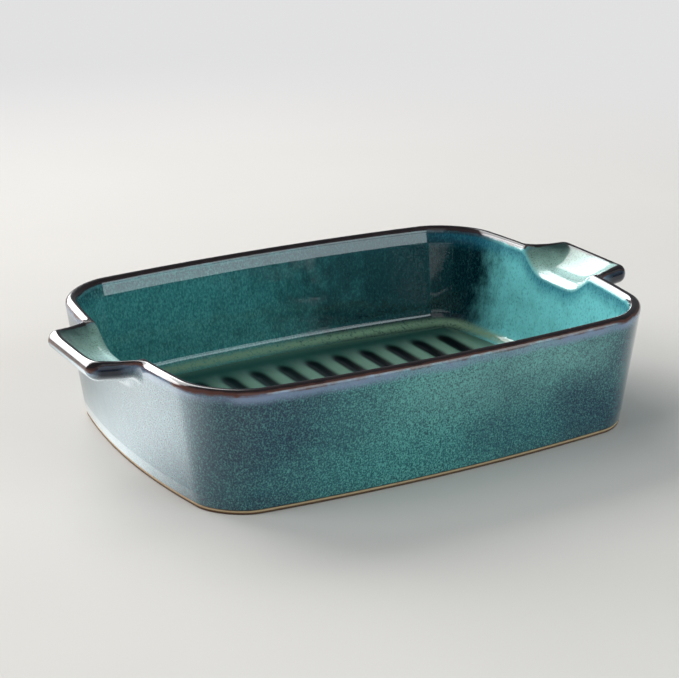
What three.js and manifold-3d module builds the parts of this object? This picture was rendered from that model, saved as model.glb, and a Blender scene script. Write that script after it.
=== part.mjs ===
// Rectangular stoneware baking dish with two scooped end handles and a grooved floor.
// Millimetres, +Z up. The origin is on the table, under the middle of the dish; +X runs along its length.
// The dish is slab built: a floor slab on a foot ring, four walls luted at the corners, two handles.

import * as THREE from "three";
import { mergeVertices } from "three/addons/utils/BufferGeometryUtils.js";
import Module from "manifold-3d";

// Driving dimensions of the body
const bodyLength = 328; // outside, at the rim, on the centre line
const bodyWidth = 244; // outside, at the rim, on the centre line
const rimHeight = 78; // rim above the table
const endBelly = 12; // how far an end wall bows out beyond its corners
const sideBelly = 9; // how far a long wall bows out beyond its corners
const cornerRadius = 33; // outside, at the rim
const leastCornerRadius = 3; // tightest inside corner
const drawIn = 9.3; // how far the outside leans in from the rim to the table
const wallThickness = 8;
const rimRadius = 3.5; // rounding of the rim's two edges
const seamRadius = 0.4; // rim edge where a handle takes over from it
const coveRadius = 10; // inside, where the walls meet the floor
const slipFilm = 0.3; // film of slip in each upright luted joint
const bellyFade = 4; // above 1, keeps the belly near the walls and off the middle of the floor

// Driving dimensions of the base
const footHeight = 2.5;
const footWidth = 9;
const footRadius = 0.8; // outer edge of the foot at the table
const floorThickness = 7.5;
const groovePitch = 20.8;
const grooveWidth = 8.5;
const grooveDepth = 2.2;
const grooveSideBorder = 5; // flat floor kept beside the outermost grooves
const grooveEndBorder = 2; // flat floor kept past the ends of the grooves

// Driving dimensions of a handle
const handleReach = 26; // out from the end wall, on the centre line
const handleRise = 0.6; // outer edge above the rim
const handleWidth = 69; // across its outer edge
const handleFlare = 3; // how much each side widens towards the wall
const handleThickness = 11.5; // along its sides
const handleKeel = 10; // how much deeper the underside is below the scoop
const handleFillet = 7; // where its sides and underside meet the wall
const handleCornerRadius = 7; // outer corners, seen from above
const handleEdgeRadius = 3; // along its upper edges
const handleUnderRadius = 6; // along its lower edges
const scoopWidth = 78; // across the scoop, at the wall
const scoopDepth = 13.5; // below the rim, at the outside of the wall
const scoopLipFall = 1.5; // further fall across the wall's thickness
const scoopLipRadius = 6; // rounding of the scoop's inner lip
const scoopEdge = 2; // outer edge of the handle left beyond the scoop
const scoopSquareness = 2.2; // above 1, flatter across the bottom
const scoopSteepness = 1.8; // above 1, steeper towards the handle's outer edge

// Facets
const cornerSteps = 4; // in half a corner
const longSideSteps = 10;
const handleRootSteps = 20;
const endWallSteps = 3; // between a handle and a corner
const arcSteps = 3;
const coveSteps = 5;
const handleSections = 12;
const handleSteps = 14; // across a handle
const edgeSteps = 2; // round a handle's edge
const grooveFacets = 20;
const grooveEndFacets = 5;
const weldDistance = 1e-4; // points closer than this are one point

// Sizes worked out from the driving dimensions
const cornerLength = bodyLength / 2 - endBelly; // half length, belly left out
const cornerWidth = bodyWidth / 2 - sideBelly; // half width, belly left out
const floorTop = footHeight + floorThickness;
const handleRootWidth = handleWidth + 2 * (handleFlare + handleFillet);

const mod = await Module();
mod.setup();

// How far the outside of the body lies inside the rim's outline at height z.
function outsideInset(z) {
  return drawIn * (1 - z / (rimHeight - rimRadius));
}

// A station is a place on the rounded rectangle: the share of the way to a corner's centre, the way
// outward there, and how far the section is moved along the wall to leave a joint open.
function station(shareX, shareY, angle, shift = 0) {
  return { shareX, shareY, outX: Math.cos(angle), outY: Math.sin(angle), shift };
}

// The point at a station that lies inset from the rim's outline, with the belly of the sides.
function bodyPoint(place, inset, z) {
  const halfLength = cornerLength - inset;
  const halfWidth = cornerWidth - inset;
  const radius = Math.max(cornerRadius - inset, leastCornerRadius);
  const x = place.shareX * (halfLength - radius) + place.outX * radius - place.outY * place.shift;
  const y = place.shareY * (halfWidth - radius) + place.outY * radius + place.outX * place.shift;
  const alongX = Math.abs(x) / halfLength;
  const alongY = Math.abs(y) / halfWidth;
  return new THREE.Vector3(
    x + Math.sign(x) * endBelly * (1 - alongY ** 2) * alongX ** bellyFade,
    y + Math.sign(y) * sideBelly * (1 - alongX ** 2) * alongY ** bellyFade,
    z,
  );
}

// The outside of an end wall at a distance y from the centre line.
function endFaceX(y, z) {
  const inset = outsideInset(z);
  return cornerLength - inset + endBelly * (1 - (y / (cornerWidth - inset)) ** 2);
}

function steps(from, to, count) {
  return Array.from({ length: count + 1 }, (_, i) => from + ((to - from) * i) / count);
}

// Stations along an arc of a corner, without its last one.
function cornerArc(shareX, shareY, fromAngle, toAngle) {
  return steps(fromAngle, toAngle, cornerSteps)
    .slice(0, -1)
    .map((angle) => station(shareX, shareY, angle));
}

// Stations of the right-hand end wall, from the middle of its front corner to just before its back one.
function endStations() {
  const rootShare = handleRootWidth / 2 / (cornerWidth - cornerRadius);
  const shares = [
    ...steps(-1, -rootShare, endWallSteps),
    ...steps(-rootShare, rootShare, handleRootSteps).slice(1, -1),
    ...steps(rootShare, 1, endWallSteps).slice(0, -1),
  ];
  return [
    ...cornerArc(1, -1, -Math.PI / 4, 0),
    ...shares.map((share) => station(1, share, 0)),
    ...cornerArc(1, 1, 0, Math.PI / 4),
  ];
}

// Stations of the back wall, from the middle of its right-hand corner to just before its left-hand one.
function longStations() {
  const shares = steps(1, -1, longSideSteps).slice(0, -1);
  return [
    ...cornerArc(1, 1, Math.PI / 4, Math.PI / 2),
    ...shares.map((share) => station(share, 1, Math.PI / 2)),
    ...cornerArc(-1, 1, Math.PI / 2, Math.PI * 0.75),
  ];
}

// A wall's stations from mitre to mitre, with half a film of slip left open at each.
function mitred(stations, lastShareX, lastShareY, lastAngle) {
  const last = station(lastShareX, lastShareY, lastAngle, -slipFilm / 2);
  return [{ ...stations[0], shift: slipFilm / 2 }, ...stations.slice(1), last];
}

// The same stations on the opposite side of the dish.
function turned(stations) {
  return stations.map((place) => ({
    shareX: -place.shareX,
    shareY: -place.shareY,
    outX: -place.outX,
    outY: -place.outY,
    shift: place.shift,
  }));
}

// Stations right round the body.
function ringStations() {
  const half = [...endStations(), ...longStations()];
  return [...half, ...turned(half)];
}

// A solid's geometry from its corner points and triangles.
function geometryOf(points, triangles) {
  const geometry = new THREE.BufferGeometry().setFromPoints(points);
  geometry.setIndex(triangles);
  return geometry;
}

// Triangles that fill a flat outline of pairs of numbers, wound the way the outline runs.
function flatFill(section) {
  const outline = section.map(([across, up]) => new THREE.Vector2(across, up));
  const clockwise = THREE.ShapeUtils.isClockWise(outline);
  return THREE.ShapeUtils.triangulateShape(outline, []).map(([a, b, c]) => {
    const flipped = THREE.ShapeUtils.isClockWise([outline[a], outline[b], outline[c]]) !== clockwise;
    return flipped ? [a, c, b] : [a, b, c];
  });
}

// Triangles between the two halves of a loop, point by point, so that the face may be curved.
function ladderFill(section) {
  const last = section.length - 1;
  const triangles = [];
  for (let i = 0; i < section.length / 2 - 1; i += 1) {
    triangles.push([i, i + 1, last - i - 1], [i, last - i - 1, last - i]);
  }
  return triangles;
}

// Skins a row of closed loops, each with the same number of points, into a ring.
function ringSkin(loops) {
  const width = loops[0].length;
  const triangles = [];
  loops.forEach((_, row) => {
    const here = row * width;
    const next = ((row + 1) % loops.length) * width;
    for (let i = 0; i < width; i += 1) {
      const j = (i + 1) % width;
      triangles.push(here + i, next + i, next + j, here + i, next + j, here + j);
    }
  });
  return geometryOf(loops.flat(), triangles);
}

// Skins a row of closed loops into a bar with its two ends filled.
function barSkin(loops, firstFill, lastFill) {
  const width = loops[0].length;
  const triangles = [];
  for (let row = 0; row < loops.length - 1; row += 1) {
    const here = row * width;
    const next = here + width;
    for (let i = 0; i < width; i += 1) {
      const j = (i + 1) % width;
      triangles.push(here + i, next + i, next + j, here + i, next + j, here + j);
    }
  }
  const last = (loops.length - 1) * width;
  firstFill.forEach(([a, b, c]) => triangles.push(a, b, c));
  lastFill.forEach(([a, b, c]) => triangles.push(last + a, last + c, last + b));
  return geometryOf(loops.flat(), triangles);
}

// Makes the faces of a closed geometry point outwards.
function facingOut(geometry) {
  const solid = solidOf(geometry);
  if (solid.volume() > 0) return geometry;
  const index = geometry.getIndex().array;
  for (let i = 0; i < index.length; i += 3) {
    [index[i + 1], index[i + 2]] = [index[i + 2], index[i + 1]];
  }
  return geometry;
}

// A closed geometry as a solid that can be cut.
function solidOf(geometry) {
  const plain = geometry.clone();
  plain.deleteAttribute("normal");
  plain.deleteAttribute("uv");
  const merged = mergeVertices(plain, weldDistance);
  const index = merged.getIndex().array;
  const triVerts = [];
  for (let i = 0; i < index.length; i += 3) {
    const [a, b, c] = [index[i], index[i + 1], index[i + 2]];
    if (a !== b && b !== c && c !== a) triVerts.push(a, b, c);
  }
  return new mod.Manifold(
    new mod.Mesh({
      numProp: 3,
      vertProperties: new Float32Array(merged.getAttribute("position").array),
      triVerts: new Uint32Array(triVerts),
    }),
  );
}

// A cut solid as a geometry again.
function geometryFromSolid(solid) {
  const mesh = solid.getMesh();
  const geometry = new THREE.BufferGeometry();
  geometry.setAttribute("position", new THREE.BufferAttribute(mesh.vertProperties, 3));
  geometry.setIndex(new THREE.BufferAttribute(mesh.triVerts, 1));
  return geometry;
}

// Share of the scoop's depth left at a share of the way from its centre line to its edge.
function scoopAcross(share) {
  const reach = Math.min(1, Math.abs(share));
  return 0.5 * (1 + Math.cos(Math.PI * reach ** scoopSquareness));
}

// Share of the scoop's depth left at a share of the way from the wall to its outer end.
function scoopAlong(share) {
  return 1 - Math.min(1, share) ** scoopSteepness;
}

// How far a rounding of this radius falls away at a distance from the edge it rounds.
function roundingFall(radius, distance) {
  const inside = Math.max(0, radius - distance);
  return radius - Math.sqrt(radius * radius - inside * inside);
}

// Points of a quarter rounding, from one direction to the next, as inset and height.
function quarter(inset, z, radius, fromAngle, toAngle, count) {
  return steps(fromAngle, toAngle, count).map((angle) => [
    inset + radius * Math.cos(angle),
    z + radius * Math.sin(angle),
  ]);
}

// Section of a wall as inset and height, from the floor's outer edge over the rim to the toe of the cove.
function wallSection(y, meetsHandle) {
  const scoop = meetsHandle ? scoopAcross(y / (scoopWidth / 2)) : 0;
  const underHandle = meetsHandle && Math.abs(y) < handleRootWidth / 2;
  const outerRadius = underHandle ? seamRadius : rimRadius;
  const innerRadius = rimRadius + (scoopLipRadius - rimRadius) * scoop;
  const outerTop = rimHeight - scoopDepth * scoop;
  const innerTop = outerTop - scoopLipFall * scoop;
  const outside = outsideInset(outerTop - outerRadius);
  const inside = outsideInset(innerTop - innerRadius) + wallThickness;
  const coveTop = floorTop + coveRadius;
  const coveInset = outsideInset(coveTop) + wallThickness;
  return [
    [outsideInset(floorTop), floorTop],
    ...quarter(outside + outerRadius, outerTop - outerRadius, outerRadius, Math.PI, Math.PI / 2, arcSteps),
    ...quarter(inside - innerRadius, innerTop - innerRadius, innerRadius, Math.PI / 2, 0, arcSteps),
    ...quarter(coveInset + coveRadius, coveTop, coveRadius, Math.PI, Math.PI * 1.5, coveSteps),
  ];
}

// Sweeps a wall's section along its stations.
function wallGeometry(stations, meetsHandle) {
  const sections = stations.map((place) => wallSection(bodyPoint(place, 0, 0).y, meetsHandle));
  const loops = sections.map((section, i) => section.map(([inset, z]) => bodyPoint(stations[i], inset, z)));
  return facingOut(barSkin(loops, flatFill(sections[0]), flatFill(sections.at(-1))));
}

// The bare ring that the dish stands on, following the body's outline.
function footRing() {
  const outer = outsideInset(0);
  const top = outsideInset(footHeight);
  const loops = ringStations().map((place) =>
    [
      [outer + footRadius, 0],
      [outsideInset(footRadius), footRadius],
      [top, footHeight],
      [top + footWidth, footHeight],
      [top + footWidth, 0],
    ].map(([inset, z]) => bodyPoint(place, inset, z)),
  );
  return facingOut(ringSkin(loops));
}

// The floor slab before its grooves: the body's outline from the foot up to the floor.
function floorBlank() {
  const stations = ringStations();
  const count = stations.length;
  const under = stations.map((place) => bodyPoint(place, outsideInset(footHeight), footHeight));
  const over = stations.map((place) => bodyPoint(place, outsideInset(floorTop), floorTop));
  const points = [...under, ...over, new THREE.Vector3(0, 0, footHeight), new THREE.Vector3(0, 0, floorTop)];
  const triangles = [];
  for (let i = 0; i < count; i += 1) {
    const j = (i + 1) % count;
    triangles.push(i, j, count + j, i, count + j, count + i);
    triangles.push(2 * count, j, i, 2 * count + 1, count + i, count + j);
  }
  return facingOut(geometryOf(points, triangles));
}

// Half length and half width of the flat floor between the toes of the coves, belly left out.
function flatFloor() {
  const toe = outsideInset(floorTop + coveRadius) + wallThickness + coveRadius;
  return { halfLength: cornerLength - toe, halfWidth: cornerWidth - toe };
}

// A round-bottomed, round-ended groove across the floor, as the bar that presses it.
function grooveBar(x, halfRun) {
  const radius = (grooveWidth ** 2 / 4 + grooveDepth ** 2) / (2 * grooveDepth);
  const straight = 2 * (halfRun - grooveWidth / 2);
  const bar = new THREE.CapsuleGeometry(radius, straight, grooveEndFacets, grooveFacets);
  bar.translate(x, 0, floorTop + radius - grooveDepth);
  return bar;
}

// The floor with as many grooves as fit between its side borders.
function floorSlab() {
  const { halfLength, halfWidth } = flatFloor();
  const spread = 2 * (halfLength - grooveSideBorder) - grooveWidth;
  const count = Math.floor(spread / groovePitch) + 1;
  let slab = solidOf(floorBlank());
  for (let k = 0; k < count; k += 1) {
    const x = (k - (count - 1) / 2) * groovePitch;
    slab = slab.subtract(solidOf(grooveBar(x, halfWidth - grooveEndBorder)));
  }
  return geometryFromSolid(slab);
}

// Section of the handle at a share of the way from the wall to its outer edge, as a loop of y and z.
function handleSection(share) {
  const fromWall = share * handleReach;
  const fromTip = handleReach - fromWall;
  const rootFall = roundingFall(handleFillet, fromWall);
  const halfWidth =
    handleWidth / 2 + handleFlare * (1 - share) + rootFall - roundingFall(handleCornerRadius, fromTip);
  const scoopHalf = scoopWidth / 2 - (handleFlare + scoopEdge) * share;
  const hollow = scoopAlong(fromWall / (handleReach - scoopEdge));
  const crest = rimHeight + handleRise * share;
  const side = crest - roundingFall(handleEdgeRadius, fromTip);
  const keel = crest - handleThickness - rootFall + roundingFall(handleUnderRadius, fromTip);
  const topAt = (y) => side - scoopDepth * hollow * scoopAcross(y / scoopHalf);
  const bottomAt = (y) => keel - handleKeel * hollow * scoopAcross(y / halfWidth);
  const thickness = side - keel;
  const underEdge = Math.min(handleUnderRadius, thickness / 2);
  const topEdge = Math.min(handleEdgeRadius, thickness - underEdge);
  const topFlat = halfWidth - topEdge;
  const underFlat = halfWidth - underEdge;
  const top = [
    ...quarter(-topFlat, side - topEdge, topEdge, Math.PI, Math.PI / 2, edgeSteps).slice(0, -1),
    ...steps(-topFlat, topFlat, handleSteps).map((y) => [y, topAt(y)]),
    ...quarter(topFlat, side - topEdge, topEdge, Math.PI / 2, 0, edgeSteps).slice(1),
  ];
  const underside = [
    ...quarter(underFlat, keel + underEdge, underEdge, 0, -Math.PI / 2, edgeSteps).slice(0, -1),
    ...steps(underFlat, -underFlat, handleSteps).map((y) => [y, bottomAt(y)]),
    ...quarter(-underFlat, keel + underEdge, underEdge, -Math.PI / 2, -Math.PI, edgeSteps).slice(1),
  ];
  return [...top, ...underside];
}

// The right-hand handle: sections from the end wall's outside, less the film of slip, to its outer edge.
function handleGeometry() {
  const outerEdge = bodyLength / 2 + handleReach;
  const shares = steps(0, Math.PI, handleSections).map((angle) => (1 - Math.cos(angle)) / 2);
  const sections = shares.map(handleSection);
  const loops = sections.map((section, i) =>
    section.map(([y, z]) => {
      const root = endFaceX(y, z) + slipFilm;
      return new THREE.Vector3(root + (outerEdge - root) * shares[i], y, z);
    }),
  );
  return facingOut(barSkin(loops, ladderFill(sections[0]), ladderFill(sections.at(-1))));
}

// Finishes
function glaze(colour, roughness) {
  return new THREE.MeshStandardMaterial({ color: colour, roughness, metalness: 0 });
}

function bareClay() {
  return new THREE.MeshStandardMaterial({ color: 0xc8a77f, roughness: 0.85, metalness: 0 });
}

function piece(name, geometry, material) {
  const mesh = new THREE.Mesh(geometry, material);
  mesh.name = name;
  geometry.computeVertexNormals();
  return mesh;
}

// Assembly
const dish = new THREE.Group();

const base = new THREE.Group();
base.add(piece("foot_ring", footRing(), bareClay()));
base.add(piece("floor_slab", floorSlab(), glaze(0x3c6455, 0.2)));
dish.add(base);

const walls = new THREE.Group();
const rightStations = mitred(endStations(), 1, 1, Math.PI / 4);
const backStations = mitred(longStations(), -1, 1, Math.PI * 0.75);
walls.add(piece("wall_front", wallGeometry(turned(backStations), false), glaze(0x39747c, 0.15)));
walls.add(piece("wall_back", wallGeometry(backStations, false), glaze(0x2b6a6e, 0.15)));
walls.add(piece("wall_left", wallGeometry(turned(rightStations), true), glaze(0x3a6d7a, 0.15)));
walls.add(piece("wall_right", wallGeometry(rightStations, true), glaze(0x3f8487, 0.15)));
dish.add(walls);

const handles = new THREE.Group();
const handleRight = piece("handle_right", handleGeometry(), glaze(0x6f9a92, 0.18));
const handleLeft = piece("handle_left", handleGeometry(), glaze(0x6f9a92, 0.18));
handleLeft.rotation.z = Math.PI;
handles.add(handleLeft, handleRight);
dish.add(handles);

export default dish;
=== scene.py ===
# Looks of a glazed stoneware baking dish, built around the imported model.
import math

import bpy
import numpy as np
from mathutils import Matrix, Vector


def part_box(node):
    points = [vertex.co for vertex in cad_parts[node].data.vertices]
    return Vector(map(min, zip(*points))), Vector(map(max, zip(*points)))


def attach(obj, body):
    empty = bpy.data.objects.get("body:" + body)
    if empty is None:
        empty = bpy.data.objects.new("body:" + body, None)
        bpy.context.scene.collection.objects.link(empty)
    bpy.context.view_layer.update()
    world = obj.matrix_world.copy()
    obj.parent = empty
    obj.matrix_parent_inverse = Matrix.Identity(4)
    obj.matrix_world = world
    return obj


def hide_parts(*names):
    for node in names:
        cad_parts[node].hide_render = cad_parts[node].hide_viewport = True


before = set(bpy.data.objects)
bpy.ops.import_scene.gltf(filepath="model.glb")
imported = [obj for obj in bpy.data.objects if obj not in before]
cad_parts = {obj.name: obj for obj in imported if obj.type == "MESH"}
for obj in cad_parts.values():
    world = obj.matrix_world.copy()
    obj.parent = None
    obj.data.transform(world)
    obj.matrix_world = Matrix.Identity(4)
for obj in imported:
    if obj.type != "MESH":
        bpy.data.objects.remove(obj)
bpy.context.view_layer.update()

MM = 0.001  # sizes below are millimetres, Blender's are metres


# Sizes read from the imported model's parts
def node_box(node):
    """Lowest and highest corner of a node, in millimetres."""
    low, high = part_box(node)
    return low / MM, high / MM


slab_low, slab_high = node_box("floor_slab")
ring_high = node_box("foot_ring")[1]
back_high = node_box("wall_back")[1]
handle_high = node_box("handle_right")[1]

FOOT_HEIGHT = slab_low.z
FLOOR_TOP = slab_high.z
RIM_HEIGHT = back_high.z
HALF_WIDTH = back_high.y  # outside, at the rim, on the centre line
FOOT_LEAN = HALF_WIDTH - ring_high.y  # how far the outside leans in from the rim to the foot's top
HALF_LENGTH = ring_high.x + FOOT_LEAN
HANDLE_TIP = handle_high.x
ROOT_HALF = handle_high.y  # half width of a handle where its fillets run out on the wall

# Shape of the body
END_BELLY = 12.0
SIDE_BELLY = 9.0
BELLY_FADE = 4
CORNER_RADIUS = 33.0
LEAST_CORNER_RADIUS = 3.0
RIM_RADIUS = 3.5  # outer edge of the rim
RIM_INNER_RADIUS = 3.4  # inner edge, across the rim
RIM_INNER_HEIGHT = 5.0  # and down it
LIP_SWEEP = math.radians(62)  # how far its rounding turns before it meets the bevel
RIM_THICKNESS = 7.5
WALL_THICKNESS = 8.2  # below the bevel inside the rim
BEVEL_HEIGHT = 5.2  # of the thinner, more open top of the inside
BEVEL_SOFTNESS = 1.2
COVE_RADIUS = 10.5

# Shape of the floor and the foot
GROOVE_COUNT = 12
GROOVE_PITCH = 20.8
GROOVE_WIDTH = 18.5
GROOVE_DEPTH = 2.3
GROOVE_HALF_RUN = 85.5
GROOVE_RUN_OUT = 18.0  # length of its sloping ends
GROOVE_MARGIN = 1.0  # flat floor past them in the fine grid
GLAZE_ROLL = 1.0  # rounded lower edge of the glaze
FOOT_SETBACK = 0.45  # bare foot behind the glaze's edge
FOOT_WIDTH = 9.0
FOOT_RADIUS = 0.8

# Shape of a handle
HANDLE_REACH = HANDLE_TIP - HALF_LENGTH
HANDLE_RISE = 0.9
HANDLE_HALF_WIDTH = 34.5
HANDLE_FLARE = 6.0
HANDLE_THICKNESS = 11.5
HANDLE_KEEL = 10.0
HANDLE_FILLET = ROOT_HALF - HANDLE_HALF_WIDTH - HANDLE_FLARE
HANDLE_CORNER_RADIUS = 7.0
HANDLE_EDGE_RADIUS = 6.0
ROOT_BLEND = 12.0  # length over which the rim runs out into a handle
HANDLE_UNDER_RADIUS = 6.0
UNDER_SHARE = 0.9  # most of a side's height that this rounding takes up
SCOOP_HALF_WIDTH = 39.0
SCOOP_DEPTH = 11.5
SCOOP_LIP_WIDTH = 7.2  # rounding of the scoop's inner lip, across the wall
SCOOP_LIP_HEIGHT = 7.0  # and down it
SCOOP_EDGE = 2.0
SCOOP_BLEND = 6.0  # width over which its glaze comes in on top of the wall
SCOOP_SQUARENESS = 2.2
SCOOP_STEEPNESS = 1.8
SCOOP_EASE = 1.5  # above 1, runs out softly under the outer edge

# Where the glaze changes on the shapes
SAGE_START = math.radians(28)  # slope of the cove where the glaze starts to turn sage
SAGE_FULL = math.radians(55)
SAGE_LOSS = 0.75  # share of the sage lost again at the foot of the cove
RIB_FADE = 30.0  # length over which a rib turns paler from its end
HANDLE_CREST = 4.0  # how far inside a handle's side edges the rim's colours are strongest
TIP_CREST = 2.0  # and inside its outer edge
TIP_BLEND = 9.0  # length over which the one becomes the other
HANDLE_FADE = 1.3  # how much faster the rim's colours fade on top of a handle
UNDER_FADE = 2.2  # and under it
SCOOP_START = 0.4  # distance inside a handle's outline where its scoop's glaze starts, in rim radii
SCOOP_COVER = 1.5  # above 1, the scoop's glaze reaches further down its inner lip
LIP_BLEND = 5  # steps of the lip over which the deeper blue below it comes in
LIP_REACH = 11.0  # how far down the inside that blue reaches
FAR_FROM_RIM = 60.0  # where the rim's colours never reach

# Mesh density
CORNER_STEPS = 11  # in half a corner
LONG_STEPS = 100
END_STEPS = 15  # between a handle and a corner
SCOOP_STEPS = 46
ROUND_STEPS = 8
LIP_STEPS = 14
OUTSIDE_STEPS = 26
BEVEL_STEPS = 5
INSIDE_STEPS = 20
COVE_STEPS = 12
HANDLE_ROWS = 44
SIDE_STEPS = 4
UNDER_STEPS = 6
FLOOR_STEP = 1.1  # spacing of the floor's grid across the grooves
FLOOR_RUN_STEP = 1.7  # and along them
UNDERSIDE_RINGS = (1.0, 3.0, 5.0)  # rings of the underside, in insets of the foot's inner edge

# Sizes worked out from these
DRAW_IN = FOOT_LEAN / (1 - FOOT_HEIGHT / (RIM_HEIGHT - RIM_RADIUS))
CORNER_LENGTH = HALF_LENGTH - END_BELLY
CORNER_WIDTH = HALF_WIDTH - SIDE_BELLY
STRAIGHT_WIDTH = CORNER_WIDTH - CORNER_RADIUS
LEAN_ANGLE = math.atan(DRAW_IN / (RIM_HEIGHT - RIM_RADIUS))
TINY = 1e-6  # a shorter length counts as none

# Columns of the walls' grid where the crown of the rim starts, is highest and ends
CROWN_START = OUTSIDE_STEPS
CREST = CROWN_START + ROUND_STEPS
CROWN_END = CREST + LIP_STEPS


# Shapes shared by the pieces
def outside_inset(z):
    """How far the outside lies inside the rim's outline at height z."""
    return DRAW_IN * (1 - z / (RIM_HEIGHT - RIM_RADIUS))


def body_points(places, inset, z):
    """Points at stations round the rim, moved in by inset. Inset and z are one row per station."""
    share_x, share_y, angle = (places[:, i:i + 1] for i in range(3))
    half_length = CORNER_LENGTH - inset
    half_width = CORNER_WIDTH - inset
    radius = np.maximum(CORNER_RADIUS - inset, LEAST_CORNER_RADIUS)
    x = share_x * (half_length - radius) + np.cos(angle) * radius
    y = share_y * (half_width - radius) + np.sin(angle) * radius
    along_x = np.abs(x) / half_length
    along_y = np.abs(y) / half_width
    bowed_x = x + np.sign(x) * END_BELLY * (1 - along_y ** 2) * along_x ** BELLY_FADE
    bowed_y = y + np.sign(y) * SIDE_BELLY * (1 - along_x ** 2) * along_y ** BELLY_FADE
    return np.stack(np.broadcast_arrays(bowed_x, bowed_y, z), axis=-1)


def end_face_x(y, z):
    """The outside of an end wall at a distance y from the centre line."""
    inset = outside_inset(z)
    return CORNER_LENGTH - inset + END_BELLY * (1 - (y / (CORNER_WIDTH - inset)) ** 2)


def end_face_normal(y, z):
    """The way out of an end wall's outside."""
    step = 0.01
    slope_y = (end_face_x(y + step, z) - end_face_x(y - step, z)) / (2 * step)
    slope_z = (end_face_x(y, z + step) - end_face_x(y, z - step)) / (2 * step)
    return unit(np.stack([np.ones_like(slope_y), -slope_y, -slope_z], axis=-1))


def unit(vectors):
    length = np.linalg.norm(vectors, axis=-1, keepdims=True)
    return vectors / np.maximum(length, TINY)


def smooth(t):
    """Eases a share from 0 to 1."""
    t = np.clip(t, 0, 1)
    return t * t * (3 - 2 * t)


def rounding_fall(radius, distance):
    """How far a rounding has fallen away at a distance from the edge that it rounds."""
    inside = np.clip(radius - distance, 0, radius)
    return radius - np.sqrt(np.maximum(radius ** 2 - inside ** 2, 0))


def scoop_across(share):
    """Share of the scoop's depth left at a share of the way from its centre line to its edge."""
    reach = np.minimum(1, np.abs(share))
    return 0.5 * (1 + np.cos(np.pi * reach ** SCOOP_SQUARENESS))


def side_half_width(out):
    """Half width of a handle at a distance out from the wall, fillets and corners left out."""
    return HANDLE_HALF_WIDTH + HANDLE_FLARE * (1 - np.clip(out / HANDLE_REACH, 0, 1))


def edge_distance(out, y):
    """Distance from a handle's outline, seen from above. Out is negative on top of the wall."""
    half = side_half_width(out)
    from_tip = HANDLE_REACH - out
    centre = half + HANDLE_FILLET - np.abs(y)
    root = np.hypot(HANDLE_FILLET - out, centre) - HANDLE_FILLET
    side = np.where(out < HANDLE_FILLET, root, half - np.abs(y))
    past_x = HANDLE_CORNER_RADIUS - from_tip
    past_y = np.abs(y) - half + HANDLE_CORNER_RADIUS
    corner = HANDLE_CORNER_RADIUS - np.hypot(past_x, past_y)
    in_corner = (past_x > 0) & (past_y > 0)
    return np.maximum(np.where(in_corner, corner, np.minimum(side, from_tip)), 0)


def off_wall(out):
    """Share of the way from the rim's own edge and colours to a handle's."""
    return smooth(out / ROOT_BLEND)


def edge_radius(out):
    return RIM_RADIUS + (HANDLE_EDGE_RADIUS - RIM_RADIUS) * off_wall(out)


def handle_top(out, y):
    """Height of a handle's top, with its scoop and its rounded edges, also over the wall."""
    share = np.clip(out / HANDLE_REACH, 0, 1)
    scoop_half = SCOOP_HALF_WIDTH - (HANDLE_FLARE + SCOOP_EDGE) * share
    along = np.clip(out / (HANDLE_REACH - SCOOP_EDGE), 0, 1)
    hollow = (1 - along ** SCOOP_STEEPNESS) ** SCOOP_EASE * scoop_across(y / scoop_half)
    fall = rounding_fall(edge_radius(out), edge_distance(out, y))
    return RIM_HEIGHT + HANDLE_RISE * share - SCOOP_DEPTH * hollow - fall


def scoop_share(y):
    """Share of a scoop's own glaze on top of the wall, at a distance from the centre line."""
    return smooth((SCOOP_HALF_WIDTH - np.abs(y)) / SCOOP_BLEND)


def tangents(points, axis, closed):
    """Directions along one axis of a grid of points, right for uneven steps."""
    if closed:
        before = np.roll(points, 1, axis)
        after = np.roll(points, -1, axis)
    else:
        first, last = [np.take(points, [i], axis) for i in (0, -1)]
        before = np.concatenate([first, np.delete(points, -1, axis)], axis)
        after = np.concatenate([np.delete(points, 0, axis), last], axis)
    back = points - before
    ahead = after - points
    back_length = np.linalg.norm(back, axis=-1, keepdims=True)
    ahead_length = np.linalg.norm(ahead, axis=-1, keepdims=True)
    inner = unit(back) * ahead_length + unit(ahead) * back_length
    at_end = np.minimum(back_length, ahead_length) < TINY
    return unit(np.where(at_end, back + ahead, inner))


def grid_normals(points, closed_rows, closed_columns):
    """Outward directions of a grid. Its rows run anticlockwise, its columns from outside to inside."""
    along_rows = tangents(points, 0, closed_rows)
    along_columns = tangents(points, 1, closed_columns)
    return unit(np.cross(along_rows, along_columns))


# Stations round the rim, each a share of the way to a corner's centre in X and Y, and an angle
def handle_columns(out):
    """Distances from the centre line at which a handle's top is sampled, for each distance out."""
    angles = np.linspace(0, np.pi / 2, ROUND_STEPS + 1)
    out = np.asarray(out, float)[:, None]
    inward = edge_radius(out) * (1 - np.cos(angles))
    half = side_half_width(out)
    from_tip = HANDLE_REACH - out
    turn = np.clip(HANDLE_FILLET - out, 0, None)
    edges = half + HANDLE_FILLET - np.sqrt((HANDLE_FILLET + inward) ** 2 - turn ** 2)
    edges = edges - rounding_fall(HANDLE_CORNER_RADIUS, from_tip)
    middle = np.linspace(-1, 1, SCOOP_STEPS + 1)[1:-1] * edges[:, -1:]
    return np.concatenate([-edges, middle, edges[:, ::-1]], axis=1)


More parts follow.
